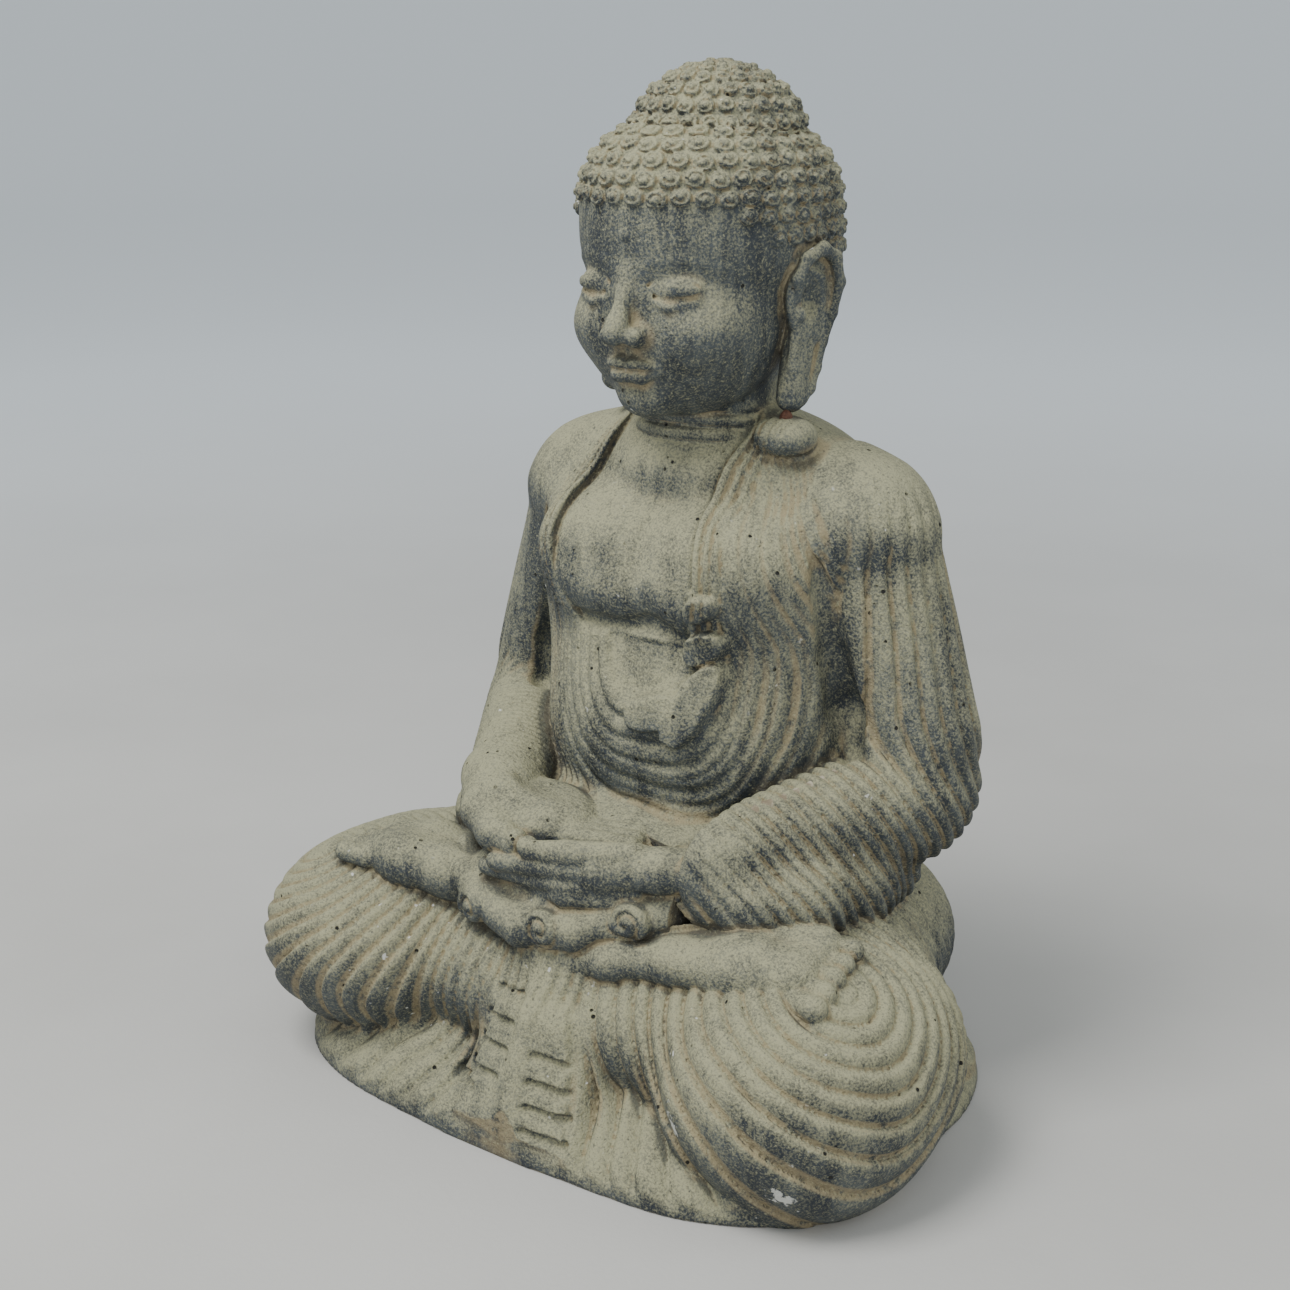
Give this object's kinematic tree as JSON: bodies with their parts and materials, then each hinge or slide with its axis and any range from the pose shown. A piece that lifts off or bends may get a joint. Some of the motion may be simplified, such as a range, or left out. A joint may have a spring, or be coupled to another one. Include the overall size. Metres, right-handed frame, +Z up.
{
  "type": "seated garden statue",
  "caption": "Seated meditating figure in cast volcanic stone: legs folded, hands resting in the lap, curled hair with topknot, draped robe.",
  "frame": {"origin": "middle of the statue's footprint, on the ground", "axes": "+Z up, the figure faces -Y, its own left side is +X"},
  "size_m": [0.483, 0.333, 0.64],
  "materials": {
    "cast_stone": "weathered matt",
    "mortar": "rough matt",
    "pebble": "matt",
    "reinforcing_steel": "mill scale with rust",
    "tie_wire": "annealed"
  },
  "bodies": {
    "root": {"base_casting": "cast_stone", "left_leg_casting": "cast_stone", "right_leg_casting": "cast_stone", "torso_casting": "cast_stone", "left_arm_casting": "cast_stone", "right_arm_casting": "cast_stone", "left_hand_casting": "cast_stone", "right_hand_casting": "cast_stone", "left_foot_casting": "cast_stone", "right_foot_casting": "cast_stone", "head_casting": "cast_stone", "neck_mortar_bed": "mortar", "left_sleeve_mortar_bead": "mortar", "right_sleeve_mortar_bead": "mortar", "wedge_pebble": "pebble", "spine_bar": "reinforcing_steel", "left_arm_bar": "reinforcing_steel", "right_arm_bar": "reinforcing_steel", "lap_front_bar": "reinforcing_steel", "lap_rear_bar": "reinforcing_steel", "base_hoop_bar": "reinforcing_steel", "tie_wires": "tie_wire"}
  },
  "joints": []
}
